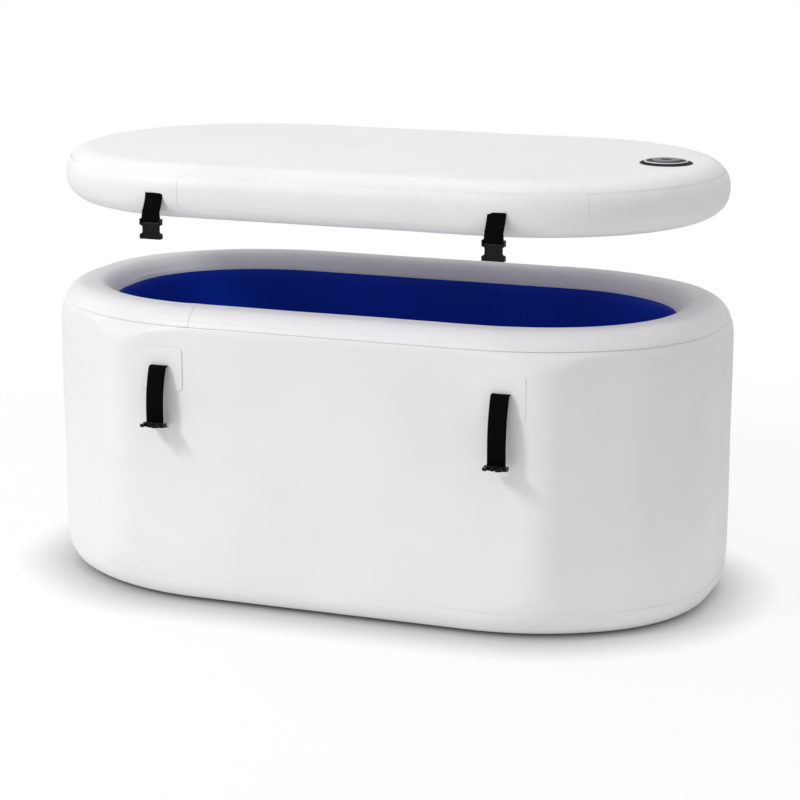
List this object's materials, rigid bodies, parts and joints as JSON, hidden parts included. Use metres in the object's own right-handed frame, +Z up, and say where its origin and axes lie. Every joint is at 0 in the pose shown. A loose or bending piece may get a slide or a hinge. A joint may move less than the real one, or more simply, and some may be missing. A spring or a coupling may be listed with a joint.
{
  "type": "cold plunge tub",
  "caption": "Inflatable drop-stitch cold plunge tub with rounded rim, blue lining and a separate inflated lid that fastens by webbing straps with side-release buckles.",
  "frame": {"origin": "on the ground under the middle of the tub", "axes": "+X along the tub's length, -Y the front, +Z up"},
  "size_m": [1.5, 0.958, 0.9624],
  "materials": {
    "white_pvc": "satin",
    "blue_pvc": "satin",
    "drop_stitch": "matte",
    "webbing": "matte",
    "black_plastic": "satin",
    "grey_plastic": "satin",
    "black_rubber": "matte",
    "spring_steel": "satin"
  },
  "bodies": {
    "tub": {"wall_core": "drop_stitch", "outer_skin": "white_pvc", "inner_skin": "blue_pvc", "rim_band": "white_pvc", "base_band": "white_pvc", "bottom_sheet": "white_pvc", "floor_core": "drop_stitch", "floor_liner": "blue_pvc", "strap_patch_front_left": "white_pvc", "strap_patch_front_right": "white_pvc", "strap_patch_rear_left": "white_pvc", "strap_patch_rear_right": "white_pvc", "wall_valve_doubler": "black_rubber", "wall_valve_body": "black_plastic", "wall_valve_nut": "grey_plastic", "wall_valve_spring": "spring_steel", "drain_body": "black_plastic", "drain_gasket": "black_rubber", "drain_nut": "black_plastic"},
    "lid": {"lid_core": "drop_stitch", "lid_top_skin": "white_pvc", "lid_edge_band": "white_pvc", "lid_bottom_skin": "white_pvc", "lid_valve_doubler": "black_rubber", "lid_valve_body": "black_plastic", "lid_valve_nut": "grey_plastic", "lid_valve_spring": "spring_steel"},
    "lid_valve_cap": {"lid_valve_cap": "grey_plastic"},
    "lid_valve_stem": {"lid_valve_stem": "grey_plastic"},
    "wall_valve_cap": {"wall_valve_cap": "grey_plastic"},
    "wall_valve_stem": {"wall_valve_stem": "grey_plastic"},
    "drain_cap": {"drain_cap": "black_plastic"},
    "tub_strap_front_left": {"tub_strap_front_left": "webbing"},
    "male_buckle_front_left": {"male_buckle_front_left": "black_plastic"},
    "lid_strap_front_left": {"lid_strap_front_left": "webbing"},
    "female_buckle_front_left": {"female_buckle_front_left": "black_plastic"},
    "tub_strap_front_right": {"tub_strap_front_right": "webbing"},
    "male_buckle_front_right": {"male_buckle_front_right": "black_plastic"},
    "lid_strap_front_right": {"lid_strap_front_right": "webbing"},
    "female_buckle_front_right": {"female_buckle_front_right": "black_plastic"},
    "tub_strap_rear_left": {"tub_strap_rear_left": "webbing"},
    "male_buckle_rear_left": {"male_buckle_rear_left": "black_plastic"},
    "lid_strap_rear_left": {"lid_strap_rear_left": "webbing"},
    "female_buckle_rear_left": {"female_buckle_rear_left": "black_plastic"},
    "tub_strap_rear_right": {"tub_strap_rear_right": "webbing"},
    "male_buckle_rear_right": {"male_buckle_rear_right": "black_plastic"},
    "lid_strap_rear_right": {"lid_strap_rear_right": "webbing"},
    "female_buckle_rear_right": {"female_buckle_rear_right": "black_plastic"}
  },
  "joints": [
    {"name": "lid_lift", "type": "slide", "parent": "tub", "child": "lid", "axis": [0, 0, 1], "range_m": [-0.1855, 0.15]},
    {"name": "lid_valve_cap_pull", "type": "slide", "parent": "lid", "child": "lid_valve_cap", "axis": [0, 0, 1], "range_m": [0, 0.03]},
    {"name": "lid_valve_press", "type": "slide", "parent": "lid", "child": "lid_valve_stem", "axis": [0, 0, -1], "range_m": [0, 0.006], "stiffness_N_per_m": 300, "deforming": ["lid_valve_spring"]},
    {"name": "wall_valve_cap_pull", "type": "slide", "parent": "tub", "child": "wall_valve_cap", "axis": [0, 1, 0], "range_m": [0, 0.03]},
    {"name": "wall_valve_press", "type": "slide", "parent": "tub", "child": "wall_valve_stem", "axis": [0, -1, 0], "range_m": [0, 0.006], "stiffness_N_per_m": 300, "deforming": ["wall_valve_spring"]},
    {"name": "drain_cap_pull", "type": "slide", "parent": "tub", "child": "drain_cap", "axis": [0, 1, 0], "range_m": [0, 0.03]},
    {"name": "tub_strap_swing_front_left", "type": "hinge", "parent": "tub", "child": "tub_strap_front_left", "pos_m": [-0.37, -0.4129, 0.526], "axis": [-1, 0, 0], "range_deg": [0, 88]},
    {"name": "male_buckle_turn_front_left", "type": "hinge", "parent": "tub_strap_front_left", "child": "male_buckle_front_left", "pos_m": [-0.37, -0.4369, 0.402], "axis": [1, 0, 0], "range_deg": [-20, 80]},
    {"name": "lid_strap_swing_front_left", "type": "hinge", "parent": "lid", "child": "lid_strap_front_left", "pos_m": [-0.378, -0.4052, 0.894], "axis": [-1, 0, 0], "range_deg": [0, 85]},
    {"name": "female_buckle_turn_front_left", "type": "hinge", "parent": "lid_strap_front_left", "child": "female_buckle_front_left", "pos_m": [-0.378, -0.4222, 0.838], "axis": [-1, 0, 0], "range_deg": [0, 80]},
    {"name": "tub_strap_swing_front_right", "type": "hinge", "parent": "tub", "child": "tub_strap_front_right", "pos_m": [0.394, -0.4129, 0.526], "axis": [-1, 0, 0], "range_deg": [0, 88]},
    {"name": "male_buckle_turn_front_right", "type": "hinge", "parent": "tub_strap_front_right", "child": "male_buckle_front_right", "pos_m": [0.394, -0.4369, 0.378], "axis": [1, 0, 0], "range_deg": [-20, 80]},
    {"name": "lid_strap_swing_front_right", "type": "hinge", "parent": "lid", "child": "lid_strap_front_right", "pos_m": [0.378, -0.4052, 0.894], "axis": [-1, 0, 0], "range_deg": [0, 85]},
    {"name": "female_buckle_turn_front_right", "type": "hinge", "parent": "lid_strap_front_right", "child": "female_buckle_front_right", "pos_m": [0.378, -0.4222, 0.838], "axis": [-1, 0, 0], "range_deg": [0, 80]},
    {"name": "tub_strap_swing_rear_left", "type": "hinge", "parent": "tub", "child": "tub_strap_rear_left", "pos_m": [-0.37, 0.4129, 0.526], "axis": [1, 0, 0], "range_deg": [0, 88]},
    {"name": "male_buckle_turn_rear_left", "type": "hinge", "parent": "tub_strap_rear_left", "child": "male_buckle_rear_left", "pos_m": [-0.37, 0.4369, 0.402], "axis": [-1, 0, 0], "range_deg": [-20, 80]},
    {"name": "lid_strap_swing_rear_left", "type": "hinge", "parent": "lid", "child": "lid_strap_rear_left", "pos_m": [-0.378, 0.4052, 0.894], "axis": [1, 0, 0], "range_deg": [0, 85]},
    {"name": "female_buckle_turn_rear_left", "type": "hinge", "parent": "lid_strap_rear_left", "child": "female_buckle_rear_left", "pos_m": [-0.378, 0.4222, 0.838], "axis": [1, 0, 0], "range_deg": [0, 80]},
    {"name": "tub_strap_swing_rear_right", "type": "hinge", "parent": "tub", "child": "tub_strap_rear_right", "pos_m": [0.394, 0.4129, 0.526], "axis": [1, 0, 0], "range_deg": [0, 88]},
    {"name": "male_buckle_turn_rear_right", "type": "hinge", "parent": "tub_strap_rear_right", "child": "male_buckle_rear_right", "pos_m": [0.394, 0.4369, 0.378], "axis": [-1, 0, 0], "range_deg": [-20, 80]},
    {"name": "lid_strap_swing_rear_right", "type": "hinge", "parent": "lid", "child": "lid_strap_rear_right", "pos_m": [0.378, 0.4052, 0.894], "axis": [1, 0, 0], "range_deg": [0, 85]},
    {"name": "female_buckle_turn_rear_right", "type": "hinge", "parent": "lid_strap_rear_right", "child": "female_buckle_rear_right", "pos_m": [0.378, 0.4222, 0.838], "axis": [1, 0, 0], "range_deg": [0, 80]}
  ]
}
